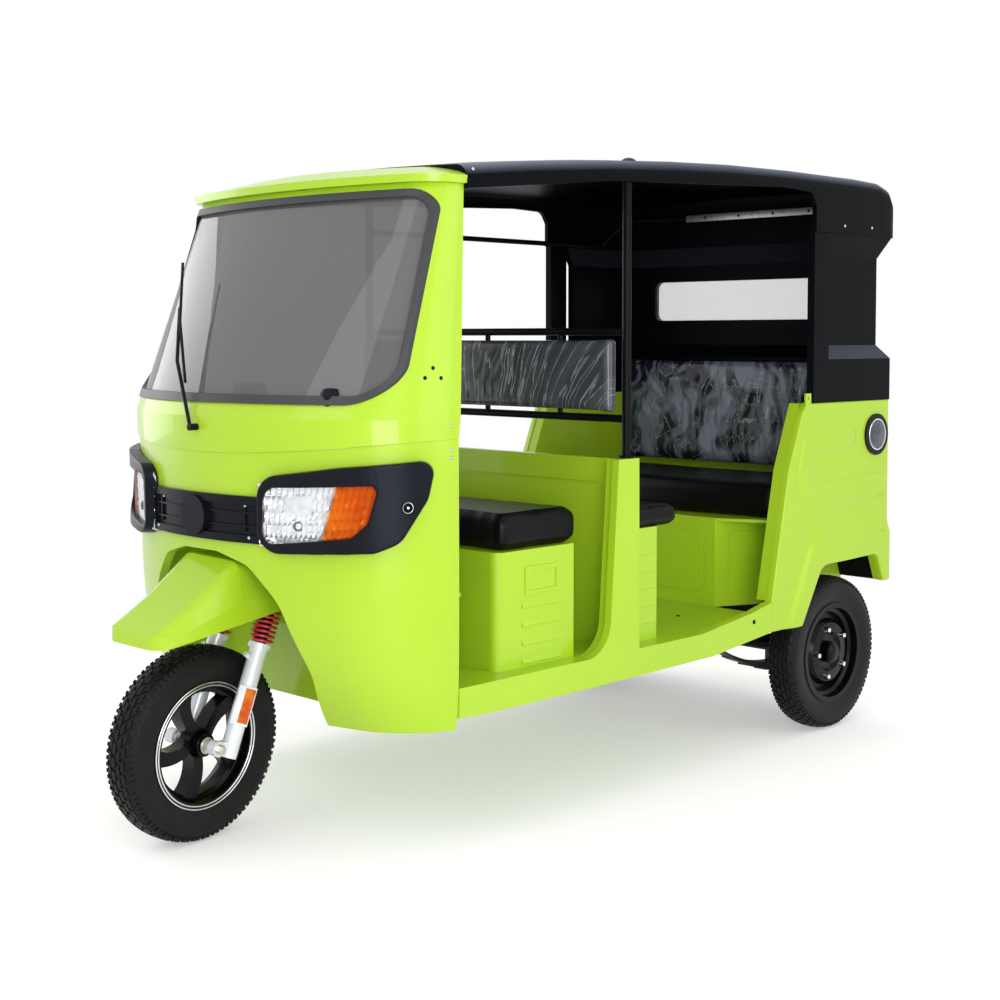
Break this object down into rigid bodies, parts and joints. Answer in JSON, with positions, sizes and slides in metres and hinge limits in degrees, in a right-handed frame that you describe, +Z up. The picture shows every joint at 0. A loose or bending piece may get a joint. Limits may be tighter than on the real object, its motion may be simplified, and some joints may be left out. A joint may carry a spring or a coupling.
{
  "type": "three-wheel auto rickshaw",
  "caption": "Three-wheel passenger rickshaw with open sides, hard roof, raked front fork, driver's bench, jump seat and rear bench",
  "frame": {"origin": "on the ground under the middle of the vehicle's length and width", "axes": "X forward along the vehicle, Y to the left, Z up"},
  "size_m": [2.6987, 1.206, 1.855],
  "materials": {
    "green": "gloss",
    "black_shell": "gloss",
    "black_steel": "satin",
    "clear_glass": "polished",
    "seal": "matt",
    "black_trim": "satin",
    "lamp_clear": "polished",
    "lamp_amber": "gloss",
    "lamp_red": "gloss",
    "chrome": "polished",
    "vinyl": "satin",
    "grey_vinyl": "satin",
    "tyre": "matt",
    "wheel_black": "satin",
    "silver": "satin",
    "spring_red": "gloss",
    "galvanised": "satin",
    "battery": "satin",
    "spring_steel": "satin"
  },
  "bodies": {
    "body": {"battery_pack": "battery", "bench_cushions": "vinyl", "brake_lever": "green", "bulkhead": "green", "chassis_frame": "black_steel", "dashboard": "black_trim", "driver_backrest": "grey_vinyl", "floor_pan": "green", "grab_rail": "galvanised", "grille": "black_trim", "headlamp_bezels": "black_trim", "headlamp_lenses": "lamp_clear", "indicator_lenses": "lamp_amber", "leaf_springs": "spring_steel", "lower_cowl": "green", "post_frame": "black_steel", "quarter_panels": "green", "rear_axle": "black_steel", "rear_backrest": "vinyl", "rear_cushion": "vinyl", "rear_seat_base": "green", "rear_shell": "black_shell", "rear_window": "clear_glass", "roof": "black_shell", "seat_boxes": "green", "side_vents": "chrome", "sun_visor": "green", "tail_lamps": "lamp_red", "tail_panel": "green", "upper_cowl": "green", "wheel_houses": "black_trim", "windscreen": "clear_glass", "windscreen_seal": "seal", "wiper": "black_trim"},
    "steering": {"fork_crown": "black_steel", "fork_sliders": "silver", "fork_springs": "spring_red", "front_mudguard": "green", "handlebar": "black_steel"},
    "front_wheel_body": {"front_tyre": "tyre", "front_wheel": "wheel_black"},
    "rear_left_body": {"rear_tyre_left": "tyre", "rear_wheel_left": "wheel_black"},
    "rear_right_body": {"rear_tyre_right": "tyre", "rear_wheel_right": "wheel_black"}
  },
  "joints": [
    {"name": "steer", "type": "hinge", "parent": "body", "child": "steering", "pos_m": [1.046, 0, 0.254], "axis": [-0.3584, 0, 0.9336], "range_deg": [-45, 31]},
    {"name": "front_wheel_spin", "type": "hinge", "parent": "steering", "child": "front_wheel_body", "pos_m": [1.09568, 0.00569, 0.25388], "axis": [-0.1138, 0.9925, -0.0437], "continuous": true},
    {"name": "rear_left_spin", "type": "hinge", "parent": "body", "child": "rear_left_body", "pos_m": [-1.044, 0.518, 0.254], "axis": [0, 1, 0], "continuous": true},
    {"name": "rear_right_spin", "type": "hinge", "parent": "body", "child": "rear_right_body", "pos_m": [-1.044, -0.518, 0.254], "axis": [0, 1, 0], "continuous": true}
  ]
}
